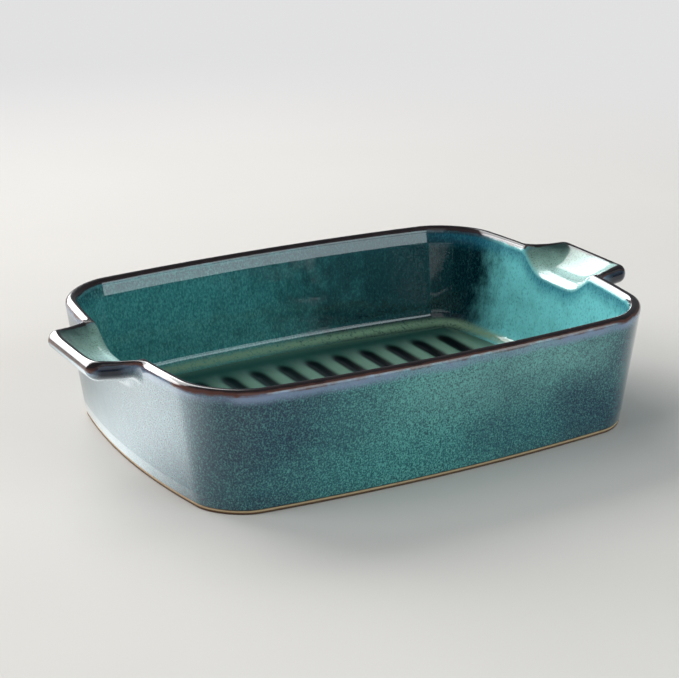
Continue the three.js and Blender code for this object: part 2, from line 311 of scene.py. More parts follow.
def end_stations():
    """Stations of the right end wall, from the middle of its front corner to that of its back one."""
    turn = np.linspace(0, np.pi / 4, CORNER_STEPS + 1)
    plain = np.linspace(STRAIGHT_WIDTH, ROOT_HALF, END_STEPS + 1)[:-1]
    offsets = np.concatenate([-plain, handle_columns([0.0])[0], plain[::-1]])
    front = [(1, -1, angle) for angle in turn[:0:-1] * -1]
    middle = [(1, offset / STRAIGHT_WIDTH, 0) for offset in offsets]
    back = [(1, 1, angle) for angle in turn[1:]]
    return np.array(front + middle + back, float)


def long_stations():
    """Stations of the back wall, from the middle of its right corner to that of its left one."""
    turn = np.linspace(0, np.pi / 4, CORNER_STEPS + 1)
    right = [(1, 1, np.pi / 2 - angle) for angle in turn[:0:-1]]
    middle = [(share, 1, np.pi / 2) for share in np.linspace(1, -1, LONG_STEPS + 1)]
    left = [(-1, 1, np.pi / 2 + angle) for angle in turn[1:]]
    return np.array(right + middle + left, float)


def ring_stations():
    """Stations right round the body, and the range of them that each wall takes."""
    half = np.concatenate([end_stations()[:-1], long_stations()[:-1]])
    opposite = half * [-1, -1, 1] + [0, 0, np.pi]
    places = np.concatenate([half, opposite])
    end_count = len(end_stations()) - 1
    ranges = {
        "wall_right": (0, end_count),
        "wall_back": (end_count, len(half)),
        "wall_left": (len(half), len(half) + end_count),
        "wall_front": (len(half) + end_count, len(places)),
    }
    return places, ranges


def inner_inset(z, lip):
    """How far the inside lies inside the rim's outline, for a lip that ends at height lip."""
    below = np.clip((lip - z) / BEVEL_HEIGHT, 0, 1)
    return outside_inset(z) + RIM_THICKNESS + (WALL_THICKNESS - RIM_THICKNESS) * below


def cove_slopes():
    """Slopes of the steps down the cove, from the wall to the floor."""
    return np.linspace(LEAN_ANGLE, np.pi / 2, COVE_STEPS + 1)[None, 1:]


def wall_grid(places):
    """Points of the walls' section at each station, and what the glaze needs to know of them."""
    on_end = np.isclose(np.abs(places[:, 0:1] * np.cos(places[:, 2:3])), 1)
    y = places[:, 1:2] * STRAIGHT_WIDTH
    in_root = on_end & (np.abs(y) < ROOT_HALF - TINY)
    scoop = np.where(on_end, scoop_across(y / SCOOP_HALF_WIDTH), 0)

    turn = np.linspace(0, np.pi / 2, ROUND_STEPS + 1)
    outer = RIM_RADIUS * (1 - np.cos(turn))[None, :]
    fall = np.where(in_root, RIM_HEIGHT - handle_top(-outer, y), rounding_fall(RIM_RADIUS, outer))
    seam = RIM_HEIGHT - fall[:, :1]
    base = outside_inset(seam)

    lip_width = RIM_INNER_RADIUS + (SCOOP_LIP_WIDTH - RIM_INNER_RADIUS) * scoop
    lip_height = RIM_INNER_HEIGHT + (SCOOP_LIP_HEIGHT - RIM_INNER_HEIGHT) * scoop
    top = RIM_HEIGHT - SCOOP_DEPTH * scoop
    lip = top - lip_height
    thickness = inner_inset(lip, lip) - base

    swing = np.linspace(0, np.pi / 2, LIP_STEPS + 1)[None, 1:]
    inner = RIM_RADIUS + (thickness - RIM_RADIUS) * np.sin(swing)
    across = np.concatenate([np.repeat(outer, len(places), 0), inner], axis=1)
    past = np.clip(across - (thickness - lip_width), 0, lip_width)
    sweep = LIP_SWEEP + (np.pi / 2 - LIP_SWEEP) * scoop
    turned = np.arcsin(past / lip_width * np.sin(sweep))
    lip_fall = lip_height * (1 - np.cos(turned)) / (1 - np.cos(sweep))
    edge = np.where(in_root, edge_distance(-across, y), across)
    crown = top - lip_fall - rounding_fall(RIM_RADIUS, edge)
    crown_inset = base + across

    rise = np.linspace(0, 1, OUTSIDE_STEPS + 1)[None, :-1]
    outside = FLOOR_TOP + (seam - FLOOR_TOP) * rise

    cove_top = FLOOR_TOP + COVE_RADIUS * (1 - math.sin(LEAN_ANGLE))
    bevel = lip - BEVEL_HEIGHT * np.linspace(0, 1, BEVEL_STEPS + 1)[None, 1:]
    crease = lip - BEVEL_HEIGHT - BEVEL_SOFTNESS
    inside = crease + (cove_top - crease) * np.linspace(0, 1, INSIDE_STEPS + 1)[None, :]
    face = np.concatenate([bevel, inside], axis=1)
    face_inset = inner_inset(face, lip)

    dip = cove_slopes()
    centre = inner_inset(cove_top, lip) + COVE_RADIUS * math.cos(LEAN_ANGLE)
    cove_inset = centre - COVE_RADIUS * np.cos(dip)
    cove = np.broadcast_to(FLOOR_TOP + COVE_RADIUS * (1 - np.sin(dip)), cove_inset.shape)

    inset = np.concatenate([outside_inset(outside), crown_inset, face_inset, cove_inset], axis=1)
    z = np.concatenate([outside, crown, face, cove], axis=1)
    points = body_points(places, inset, z)
    return points, wall_facts(points, edge, on_end * scoop_share(y))


def wall_facts(points, edge, in_scoop):
    """What the glaze needs to know at each point of the walls."""
    steps = np.linalg.norm(np.diff(points, axis=1), axis=-1)
    travelled = np.concatenate([np.zeros((len(points), 1)), np.cumsum(steps, axis=1)], axis=1)
    past_crest = travelled - travelled[:, CREST:CREST + 1]
    inside_edge = edge[:, ROUND_STEPS:ROUND_STEPS + 1] - RIM_RADIUS
    from_crest = np.maximum(past_crest, inside_edge)
    from_crest[:, CROWN_START:CREST] = np.abs(edge[:, :ROUND_STEPS] - RIM_RADIUS)
    down = travelled[:, CROWN_START:CROWN_START + 1] - travelled[:, :CROWN_START]
    from_crest[:, :CROWN_START] = from_crest[:, CROWN_START:CROWN_START + 1] + down

    zeros = np.zeros(points.shape[:2])
    column = np.arange(points.shape[1])[None, :]
    on_crown = smooth((CROWN_END - column) / LIP_STEPS * SCOOP_COVER) * (column >= CROWN_START)
    below_lip = np.clip(travelled - travelled[:, CROWN_END:CROWN_END + 1], 0, None)
    dip = cove_slopes()
    gained = smooth((dip - SAGE_START) / (SAGE_FULL - SAGE_START))
    lost = SAGE_LOSS * smooth((dip - SAGE_FULL) / (np.pi / 2 - SAGE_FULL))
    sage = zeros.copy()
    sage[:, -COVE_STEPS:] = gained * (1 - lost)
    return {
        "rim": from_crest * (1 + (HANDLE_FADE - 1) * in_scoop),
        "inside": zeros + smooth((column - CROWN_START) / (CROWN_END - CROWN_START)),
        "lip": smooth((column - CROWN_END) / LIP_BLEND + 1) * (1 - smooth(below_lip / LIP_REACH)),
        "sage": sage,
        "scoop": in_scoop * on_crown,
    }


# Pieces
def as_faces(rows, columns, closed_rows=False, closed_columns=False):
    """Quads of a grid of points, numbered row by row."""
    number = np.arange(rows * columns).reshape(rows, columns)
    if closed_rows:
        number = np.concatenate([number, number[:1]], axis=0)
    if closed_columns:
        number = np.concatenate([number, number[:, :1]], axis=1)
    corners = [number[:-1, :-1], number[1:, :-1], number[1:, 1:], number[:-1, 1:]]
    return np.stack(corners, axis=-1).reshape(-1, 4)


def ladder(loop):
    """Quads between the two halves of a loop of point numbers."""
    half = (len(loop) + 1) // 2
    near = loop[:half]
    far = loop[::-1][:half]
    return np.stack([near[:-1], near[1:], far[1:], far[:-1]], axis=-1)


def facing_out(points, faces):
    """Turns all faces over if the closed surface is inside out."""
    a, b, c, d = (points[faces[:, i]] for i in range(4))
    volume = np.einsum("ij,ij->i", a, np.cross(b, c) + np.cross(c, d)).sum()
    return faces if volume > 0 else faces[:, ::-1]


def make_piece(name, node, slot, material, points, normals, skin, joints, facts):
    """A closed piece with smooth skin faces and flat joint faces, standing for a node."""
    points = points.reshape(-1, 3)
    normals = normals.reshape(-1, 3)
    faces = facing_out(points, np.concatenate([skin, joints]))
    mesh = bpy.data.meshes.new(name)
    mesh.from_pydata((points * MM).tolist(), [], [[*dict.fromkeys(face)] for face in faces.tolist()])
    for fact, values in facts.items():
        layer = mesh.attributes.new(fact, "FLOAT", "POINT")
        layer.data.foreach_set("value", np.asarray(values, np.float32).reshape(-1))
    mesh.polygons.foreach_set("use_smooth", [True] * len(mesh.polygons))
    joint_edges = {key for polygon in mesh.polygons[len(skin):] for key in polygon.edge_keys}
    for edge in mesh.edges:
        edge.use_edge_sharp = edge.key in joint_edges
    loop_normals = []
    for polygon in mesh.polygons:
        flat = polygon.index >= len(skin)
        for corner in polygon.vertices:
            loop_normals.append(tuple(polygon.normal) if flat else tuple(normals[corner]))
    mesh.normals_split_custom_set(loop_normals)
    mesh.materials.append(material)
    piece = bpy.data.objects.new(name, mesh)
    bpy.context.scene.collection.objects.link(piece)
    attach(piece, "root")
    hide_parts(node)
    return piece


def make_wall(name, node, stations, grid, normals, facts, material):
    """One wall, cut from the ring of sections between two mitres."""
    first, last = stations
    rows = np.arange(first, last + 1) % len(grid)
    columns = grid.shape[1]
    skin = as_faces(len(rows), columns)
    outer = np.arange(len(rows)) * columns
    inner = outer + columns - 1
    floor_side = np.stack([outer[:-1], inner[:-1], inner[1:], outer[1:]], axis=-1)
    section = np.arange(columns)
    ends = [ladder(section)[:, ::-1], ladder(section + (len(rows) - 1) * columns)]
    joints = np.concatenate([floor_side, *ends])
    cut_facts = {fact: values[rows] for fact, values in facts.items()}
    make_piece(name, node, "wall_glaze", material, grid[rows], normals[rows], skin, joints, cut_facts)


def handle_rows():
    """Points of the right handle, in rows from the wall to its tip, with facts for the glaze."""
    share = (1 - np.cos(np.linspace(0, np.pi, HANDLE_ROWS + 1))) / 2
    out = (share * HANDLE_REACH)[:, None]
    from_tip = HANDLE_REACH - out
    root_fall = rounding_fall(HANDLE_FILLET, out)

    y_top = handle_columns(out[:, 0])
    z_top = handle_top(out, y_top)
    edge_z = z_top[:, -1:]
    half = y_top[:, -1:]

    along = np.clip(out / (HANDLE_REACH - SCOOP_EDGE), 0, 1)
    hollow = 1 - along ** SCOOP_STEEPNESS
    crest = RIM_HEIGHT + HANDLE_RISE * share[:, None]
    keel = crest - HANDLE_THICKNESS - root_fall + rounding_fall(HANDLE_UNDER_RADIUS, from_tip)
    under = np.minimum(HANDLE_UNDER_RADIUS, (edge_z - keel) * UNDER_SHARE)

    side = np.linspace(0, 1, SIDE_STEPS + 1)[None, 1:-1]
    side_z = edge_z + (keel + under - edge_z) * side
    side_y = np.broadcast_to(half, side_z.shape)
    turn = np.linspace(0, np.pi / 2, UNDER_STEPS + 1)[None, :]
    turn_y = half - under * (1 - np.cos(turn))
    turn_z = keel + under * (1 - np.sin(turn))
    flat_count = y_top.shape[1] - 2 * (side_z.shape[1] + turn_z.shape[1])
    flat = np.linspace(1, -1, flat_count + 2)[None, 1:-1]
    flat_y = (half - under) * flat
    bulge = HANDLE_KEEL * hollow
    flat_z = keel - bulge * scoop_across(flat_y / half) + bulge * scoop_across((half - under) / half)
    y_under = np.concatenate([side_y, turn_y, flat_y, -turn_y[:, ::-1], -side_y[:, ::-1]], axis=1)
    z_under = np.concatenate([side_z, turn_z, flat_z, turn_z[:, ::-1], side_z[:, ::-1]], axis=1)

    y = np.concatenate([y_top, y_under], axis=1)
    z = np.concatenate([z_top, z_under], axis=1)
    root = end_face_x(y, z)
    points = np.stack([root + (HANDLE_TIP - root) * share[:, None], y, z], axis=-1)

    inward = edge_distance(out, y_top)
    own = off_wall(out)
    own_crest = TIP_CREST + (HANDLE_CREST - TIP_CREST) * smooth(from_tip / TIP_BLEND)
    crest_line = RIM_RADIUS + (own_crest - RIM_RADIUS) * own
    fade = 1 + (HANDLE_FADE - 1) * np.maximum(own, scoop_share(y_top))
    top_rim = fade * np.abs(inward - crest_line)
    below = edge_z - z_under + np.clip(half - np.abs(y_under), 0, None)
    under_rim = fade[:, -1:] * crest_line + (1 + (UNDER_FADE - 1) * own) * below
    rim = np.concatenate([top_rim, under_rim], axis=1)
    scoop = np.concatenate([smooth(inward / RIM_RADIUS - SCOOP_START), np.zeros_like(z_under)], axis=1)
    off_top = np.concatenate([smooth(1 - inward / HANDLE_CREST), np.ones_like(z_under)], axis=1)
    # painted shade: a handle's sides and underside turn navy, less towards its tip
    painted_shade = off_top * own * smooth(from_tip / HANDLE_CORNER_RADIUS)
    return points, {"rim": rim, "inside": scoop, "scoop": scoop, "painted_shade": painted_shade}


def handle_normals(points, wall_ghost):
    """Outward directions of the handle's skin, running smoothly on from the wall at its root."""
    top_count = wall_ghost.shape[0]
    normals = grid_normals(points, False, True)
    normals[0] = end_face_normal(points[0, :, 1], points[0, :, 2])
    across = np.stack([wall_ghost, points[0, :top_count], points[1, :top_count]])
    seam = grid_normals(across, False, False)[1]
    normals[0, 1:top_count - 1] = seam[1:-1]
    normals[-1] = (1, 0, 0)
    return normals, seam


def blend_roots(grid, normals, handle_points):
    """Outward directions of a handle; those of both end walls are set to match at its root."""
    first = CORNER_STEPS + END_STEPS
    count = handle_columns([0.0]).shape[1]
    wall_ghost = grid[first:first + count, CROWN_START + 1]
    directions, seam = handle_normals(handle_points, wall_ghost)
    opposite = first + len(grid) // 2
    for start, side in ((first, 1), (opposite, -1)):
        normals[start + 1:start + count - 1, CROWN_START] = seam[1:-1] * [side, side, 1]
    return directions


def make_handle(name, node, points, normals, facts, turned, material):
    """One handle; the left one is the right one turned half round."""
    rows, columns = points.shape[:2]
    skin = as_faces(rows, columns, closed_columns=True)
    loop = np.arange(columns)
    joints = np.concatenate([ladder(loop), ladder(loop + (rows - 1) * columns)[:, ::-1]])
    if turned:
        points = points * [-1, -1, 1]
        normals = normals * [-1, -1, 1]
    make_piece(name, node, "handle_glaze", material, points, normals, skin, joints, facts)


def groove_share(x, y):
    """Share of the groove's depth at a place on the floor, with rounded shoulders and ends."""
    first = -(GROOVE_COUNT - 1) / 2 * GROOVE_PITCH
    nearest = np.clip(np.round((x - first) / GROOVE_PITCH), 0, GROOVE_COUNT - 1)
    off_line = x - (first + nearest * GROOVE_PITCH)
    past_end = np.clip(np.abs(y) - (GROOVE_HALF_RUN - GROOVE_RUN_OUT), 0, None)
    reach = np.hypot(off_line / (GROOVE_WIDTH / 2), past_end / GROOVE_RUN_OUT)
    return np.cos(np.clip(reach, 0, 1) * np.pi / 2) ** 2


def stations_at(places, heading, half_x, half_y):
    """Stations round the rim at given headings from the middle, on a plan scaled to a square."""
    outline = body_points(places, np.zeros((len(places), 1)), 0.0)[:, 0]
    outline_heading = np.arctan2(outline[:, 1] / half_y, outline[:, 0] / half_x)
    order = np.argsort(outline_heading)

    def at_heading(values):
        return np.interp(heading, outline_heading[order], values[order], period=2 * np.pi)

    share_x, share_y, angle = places.T
    turn = np.arctan2(at_heading(np.sin(angle)), at_heading(np.cos(angle)))
    return np.column_stack([at_heading(share_x), at_heading(share_y), turn])


def floor_facts(depth, y, border_count, total):
    """What the glazes need to know of the floor: the grooved grid comes first, then its border."""
    facts = {name: np.zeros(total) for name in ("inside", "sage", "pool", "rib")}
    rib = smooth((GROOVE_HALF_RUN - np.abs(y)) / RIB_FADE) * (1 - depth)
    facts["pool"][:depth.size] = depth.ravel()
    facts["rib"][:depth.size] = rib.ravel()
    border = slice(depth.size, depth.size + border_count)
    facts["sage"][border] = 1 - SAGE_LOSS
    facts["inside"][:border.stop] = 1
    facts["rim"] = np.full(total, FAR_FROM_RIM)
    return facts


def make_floor(places, toe_inset, inner_glaze, outer_glaze):
    """The floor slab, grooved in the middle. It runs under the walls and is glazed like them outside."""
    half_x = GROOVE_COUNT / 2 * GROOVE_PITCH
    half_y = GROOVE_HALF_RUN + GROOVE_MARGIN
    across = int(2 * half_x / FLOOR_STEP)
    along = int(2 * half_y / FLOOR_RUN_STEP)
    x, y = np.meshgrid(np.linspace(-half_x, half_x, across + 1), np.linspace(-half_y, half_y, along + 1))
    depth = groove_share(x, y)
    middle = np.stack([x, y, FLOOR_TOP - GROOVE_DEPTH * depth], axis=-1)
    middle_normals = -grid_normals(middle, False, False)

    number = np.arange(x.size).reshape(x.shape)
    edge = np.concatenate([number[:-1, -1], number[-1, :0:-1], number[:0:-1, 0], number[0, :-1]])
    edge_points = middle.reshape(-1, 3)[edge]
    heading = np.arctan2(edge_points[:, 1] / half_y, edge_points[:, 0] / half_x)
    ring_places = stations_at(places, heading, half_x, half_y)
    count = len(edge)

    roll = np.linspace(0, np.pi / 2, UNDER_STEPS + 1)
    roll_inset = GLAZE_ROLL * (1 - np.cos(roll))
    roll_z = FOOT_HEIGHT + GLAZE_ROLL * (1 - np.sin(roll))
    levels = [(toe_inset, FLOOR_TOP), (outside_inset(FLOOR_TOP), FLOOR_TOP)]
    levels += [(outside_inset(h) + i, h) for i, h in zip(roll_inset, roll_z)]
    under_inset = outside_inset(FOOT_HEIGHT) + FOOT_WIDTH
    levels += [(under_inset * share, FOOT_HEIGHT) for share in UNDERSIDE_RINGS]
    loops = [body_points(ring_places, np.full((count, 1), inset), h)[:, 0] for inset, h in levels]
    under_centre = np.array([[0.0, 0.0, FOOT_HEIGHT]])
    points = np.concatenate([middle.reshape(-1, 3), *loops, under_centre])

    flat_up = np.tile([0.0, 0.0, 1.0], (count, 1))
    side = np.stack(loops[1:3 + UNDER_STEPS], axis=1)
    side_normals = -grid_normals(side, True, False)
    side_normals[:, 0] = side_normals[:, 1]
    normal_loops = [flat_up] + [side_normals[:, i] for i in range(side_normals.shape[1])]
    normal_loops += [-flat_up] * (len(loops) - len(normal_loops))
    normals = np.concatenate([middle_normals.reshape(-1, 3), *normal_loops, [[0, 0, -1]]])

    numbers = [edge] + [x.size + k * count + np.arange(count) for k in range(len(loops))]
    bands = []
    for near, far in zip(numbers[:-1], numbers[1:]):
        bands.append(np.stack([near, far, np.roll(far, -1), np.roll(near, -1)], axis=-1))
    last = numbers[-1]
    hub = np.full(count, len(points) - 1)
    bands.append(np.stack([last, hub, hub, np.roll(last, -1)], axis=-1))
    covered = bands.pop(1)
    skin = np.concatenate([as_faces(*x.shape)[:, ::-1], *bands])

    facts = floor_facts(depth, y, count, len(points))
    names = ("floor", "floor_slab", "floor_glaze")
    piece = make_piece(*names, inner_glaze, points, normals, skin, covered, facts)
    piece.data.materials.append(outer_glaze)
    inner_count = (x.shape[0] - 1) * (x.shape[1] - 1) + count
    on_outside = np.arange(len(piece.data.polygons)) >= inner_count
    piece.data.polygons.foreach_set("material_index", on_outside.astype(np.int32))


def make_foot(places, material):
    """The bare clay ring under the floor, set back a little behind the edge of the glaze."""
    turn = np.linspace(0, np.pi / 2, UNDER_STEPS + 1)
    outer = outside_inset(FOOT_HEIGHT) + FOOT_SETBACK
    inner = outside_inset(FOOT_HEIGHT) + FOOT_WIDTH
    round_in = FOOT_RADIUS * (1 - np.sin(turn))
    round_up = FOOT_RADIUS * (1 - np.cos(turn))
    profile = [(inner, FOOT_HEIGHT)]
    profile += [(inner - i, h) for i, h in zip(round_in[::-1], round_up[::-1])]
    profile += [(outer + i, h) for i, h in zip(round_in, round_up)]
    profile += [(outer, FOOT_HEIGHT)]
    inset, height = np.array(profile).T
    ones = np.ones((len(places), 1))
    points = body_points(places, ones * inset, ones * height)
    normals = grid_normals(points, True, False)
    skin = as_faces(*points.shape[:2], closed_rows=True)
    start = np.arange(len(places)) * len(profile)
    after = np.roll(start, -1)
    top = np.stack([start, after, after + len(profile) - 1, start + len(profile) - 1], axis=-1)
    make_piece("foot", "foot_ring", "bare_clay", material, points, normals, skin, top, {})


# Materials
def linear(colour):
    """An 8-bit colour as linear RGBA."""
    shares = [value / 255 for value in colour]
    return [s / 12.92 if s <= 0.04045 else ((s + 0.055) / 1.055) ** 2.4 for s in shares] + [1.0]


class Finish:
    """A material and its nodes, with short calls for the kinds of node used here."""

    def __init__(self, name):
        self.material = bpy.data.materials.new(name)
        self.material.use_nodes = True
        self.nodes = self.material.node_tree.nodes
        self.links = self.material.node_tree.links
        self.shader = self.nodes["Principled BSDF"]
        self.place = self.nodes.new("ShaderNodeTexCoord").outputs["Object"]

    def feed(self, socket, value):
        if isinstance(value, bpy.types.NodeSocket):
            self.links.new(value, socket)
        else:
            socket.default_value = value

    def fact(self, name):
        node = self.nodes.new("ShaderNodeAttribute")
        node.attribute_name = name
        return node.outputs["Fac"]

    def axis(self, name):
        node = self.nodes.new("ShaderNodeSeparateXYZ")
        self.feed(node.inputs[0], self.place)
        return node.outputs[name]

    def noise(self, size, detail=3.0, stretch=(1, 1, 1), roughness=0.5):
        """Noise with features about size millimetres wide, drawn out by stretch along each axis."""
        mapping = self.nodes.new("ShaderNodeMapping")
        self.feed(mapping.inputs["Vector"], self.place)
        mapping.inputs["Scale"].default_value = [1 / (size * MM * s) for s in stretch]
        node = self.nodes.new("ShaderNodeTexNoise")
        self.feed(node.inputs["Vector"], mapping.outputs[0])
        node.inputs["Scale"].default_value = 1.0
        node.inputs["Detail"].default_value = detail
        node.inputs["Roughness"].default_value = roughness
        return node.outputs["Fac"]

    def math(self, operation, a, b=0.0, c=0.0):
        node = self.nodes.new("ShaderNodeMath")
        node.operation = operation
        for socket, value in zip(node.inputs, (a, b, c)):
            self.feed(socket, value)
        return node.outputs[0]

    def times(self, a, b):
        return self.math("MULTIPLY", a, b)

    def between(self, value, low, high):
        """Eases from 0 at low to 1 at high."""
        node = self.nodes.new("ShaderNodeMapRange")
        node.interpolation_type = "SMOOTHSTEP"
        falling = low > high
        self.feed(node.inputs["Value"], value)
        node.inputs["From Min"].default_value = min(low, high)
        node.inputs["From Max"].default_value = max(low, high)
        node.inputs["To Min"].default_value = 1.0 if falling else 0.0
        node.inputs["To Max"].default_value = 0.0 if falling else 1.0
        return node.outputs["Result"]

    def mix(self, share, a, b):
        node = self.nodes.new("ShaderNodeMix")
        node.data_type = "RGBA"
        self.feed(node.inputs[0], share)
        self.feed(node.inputs[6], a)
        self.feed(node.inputs[7], b)
        return node.outputs[2]

    def bump(self, height, distance, under=None):
        """Tilts the surface by a height of so many millimetres."""
        node = self.nodes.new("ShaderNodeBump")
        node.inputs["Distance"].default_value = distance * MM
        self.feed(node.inputs["Height"], height)
        if under is not None:
            self.links.new(under, node.inputs["Normal"])
        return node.outputs["Normal"]


# Colours of the glaze and the clay
SLATE = linear((14, 48, 74))
TEAL = linear((46, 126, 128))
FLECK = linear((108, 186, 174))
PALE_TEAL = linear((128, 184, 178))
DARK_FLECK = linear((20, 50, 66))
MAUVE = linear((122, 138, 166))
BROWN = linear((90, 59, 52))
BLACK_BROWN = linear((28, 21, 24))
INK = linear((16, 26, 34))
# painted shade under and beside a handle
SHADE_NAVY = linear((14, 24, 38))
INNER_TEAL = linear((58, 126, 128))
INNER_DEEP = linear((0, 34, 44))
# painted light: the right wall's teal as if lit from the left
INNER_PAINTED_LIGHT = linear((122, 216, 220))
INNER_LIGHT = linear((104, 178, 166))
# painted light: the blue below the lip on the right wall
LIT_LIP_BLUE = linear((18, 104, 128))
LIP_DEEP = linear((12, 64, 76))
SAGE = linear((120, 154, 126))
# a scoop's colours, with painted light at its front and painted shade at its back
SCOOP_PALE_LIT = linear((198, 238, 232))
SCOOP_GREEN = linear((132, 168, 156))
SCOOP_DARK_SHADED = linear((30, 54, 54))
SPECK = linear((58, 60, 48))
RIB_GREEN = linear((112, 148, 130))
FLOOR_GREEN = linear((40, 84, 75))
POOL = linear((6, 13, 15))
CLAY = linear((176, 148, 112))
PALE_CLAY = linear((206, 180, 142))
CLAY_CONTACT_SHADOW = linear((84, 60, 40))
CLAY_GRAIN = linear((128, 92, 62))

# Where the colours change over, in metres along an axis
SLATE_LEFT = (-0.03, -0.15)
SLATE_RIGHT = (0.07, 0.15)
SLATE_DOWN = (0.08, 0.01)
SLATE_LOW_RIGHT = (-0.02, 0.14)
PALE_RIGHT = (-0.1, 0.06)
PALE_UP = (0.02, 0.06)
# deeper glaze with painted shade towards the back right corner
DEEP_AND_SHADE_RIGHT = (-0.06, 0.13)
DEEP_AND_SHADE_BACK = (0.04, 0.095)
# painted light on the right wall
PAINTED_LIGHT_RIGHT = (0.11, 0.15)
# where a scoop's painted light gives way to green, then to painted shade, along Y
SCOOP_GREENS = (0.01, 0.03)
SCOOP_DARKENS = (0.028, 0.048)
GLAZE_FOOT = (0.0042, 0.0026)
CONTACT_SHADOW_HEIGHTS = (0.0019, 0.0012)

# And in millimetres from the crest of the rim
MAUVE_REACH = (10.0, 4.5)
BROWN_REACH = (3.8, 3.0)
BLACK_REACH = (2.9, 1.6)
RIM_WANDER = 2.0  # unevenness of these lines

POOL_DEPTH = (0.22, 0.72)  # shares of a groove's depth over which the pooled glaze turns black


def outer_colour(finish):
    """Mottled slate and teal with fine pale and dark flecks."""
    x = finish.axis("X")
    z = finish.axis("Z")
    patches = finish.noise(60, 4, (1.4, 1.4, 1))
    left = finish.between(x, *SLATE_LEFT)
    low = finish.times(finish.between(z, *SLATE_DOWN), 0.8)
    low_right = finish.times(finish.between(x, *SLATE_LOW_RIGHT), low)
    right_end = finish.times(finish.between(x, *SLATE_RIGHT), 0.75)
    slate_zone = finish.math("MAXIMUM", left, finish.math("MAXIMUM", low_right, right_end))
    weight = finish.math("MULTIPLY_ADD", slate_zone, 0.4, patches)
    slate = finish.between(weight, 0.34, 0.95)
    pale = finish.times(finish.between(x, *PALE_RIGHT), finish.between(z, *PALE_UP))
    bright = finish.mix(finish.times(pale, 0.85), TEAL, PALE_TEAL)
    body = finish.mix(slate, bright, SLATE)
    fine = finish.noise(0.9, 3, (1, 1, 1.2), 0.6)
    strength = finish.math("SUBTRACT", 0.85, finish.times(slate, 0.4))
    dark_share = finish.times(finish.between(fine, 0.58, 0.3), strength)
    pale_share = finish.times(finish.between(fine, 0.42, 0.72), strength)
    return finish.mix(pale_share, finish.mix(dark_share, body, DARK_FLECK), FLECK)


def inner_colour(finish):
    """Teal with fine runs, bluer below the lip; deeper glaze and painted shade darken the back right
    corner, and painted light brightens the right wall.
    """
    runs = finish.noise(1.3, 3, (1, 1, 1.6), 0.65)
    clouds = finish.noise(50, 3, (1, 1, 0.8))
    blotches = finish.math("SUBTRACT", finish.noise(8, 3, (1, 1, 1.4)), 0.5)
    # painted shade in the back right corner, where the back wall shades it, added to deeper glaze in
    # clouds and blotches
    towards_right = finish.between(finish.axis("X"), *DEEP_AND_SHADE_RIGHT)
    corner = finish.times(towards_right, finish.between(finish.axis("Y"), *DEEP_AND_SHADE_BACK))
    depth = finish.math("MULTIPLY_ADD", clouds, 0.5, corner)
    depth = finish.math("MULTIPLY_ADD", blotches, 0.7, depth)
    deep_and_shaded = finish.between(depth, 0.12, 1.05)
    # painted light: the right wall and the blue below its lip turn brighter towards the right
    bright = finish.between(finish.axis("X"), *PAINTED_LIGHT_RIGHT)
    base = finish.mix(deep_and_shaded, finish.mix(bright, INNER_TEAL, INNER_PAINTED_LIGHT), INNER_DEEP)
    below_lip = finish.mix(bright, LIP_DEEP, LIT_LIP_BLUE)
    base = finish.mix(finish.times(finish.fact("lip"), 0.75), base, below_lip)
    # fewer light runs in the deep glaze and the painted shade
    strength = finish.math("SUBTRACT", 0.5, finish.times(deep_and_shaded, 0.38))
    light = finish.times(finish.between(runs, 0.45, 0.75), strength)
    dark = finish.times(finish.between(runs, 0.55, 0.25), 0.5)
    return finish.mix(light, finish.mix(dark, base, INNER_DEEP), INNER_LIGHT)


def scoop_colour(finish):
    """Pale aqua towards the front of a scoop, then speckled green, dark at its back: the glaze's own
    change, with painted light on the slope facing the lamps and painted shade on the slope facing away.
    """
    outward = finish.math("SUBTRACT", finish.math("ABSOLUTE", finish.axis("X")), HALF_LENGTH * MM)
    slanted = finish.math("MULTIPLY_ADD", outward, 0.6, finish.axis("Y"))
    wander = finish.math("MULTIPLY_ADD", finish.noise(14, 3), 0.016, slanted)
    front = finish.mix(finish.between(wander, *SCOOP_GREENS), SCOOP_PALE_LIT, SCOOP_GREEN)
    base = finish.mix(finish.between(wander, *SCOOP_DARKENS), front, SCOOP_DARK_SHADED)
    specks = finish.between(finish.noise(1.0, 2), 0.5, 0.7)
    return finish.mix(finish.times(specks, 0.55), base, SPECK)


def floor_colour(finish):
    """Green ribs, with the glaze pooled nearly black in the grooves."""
    grain = finish.noise(3.0, 3)
    ground = finish.mix(finish.times(grain, 0.35), FLOOR_GREEN, INNER_DEEP)
    ribs = finish.mix(finish.fact("rib"), ground, RIB_GREEN)
    return finish.mix(finish.between(finish.fact("pool"), *POOL_DEPTH), ribs, POOL)


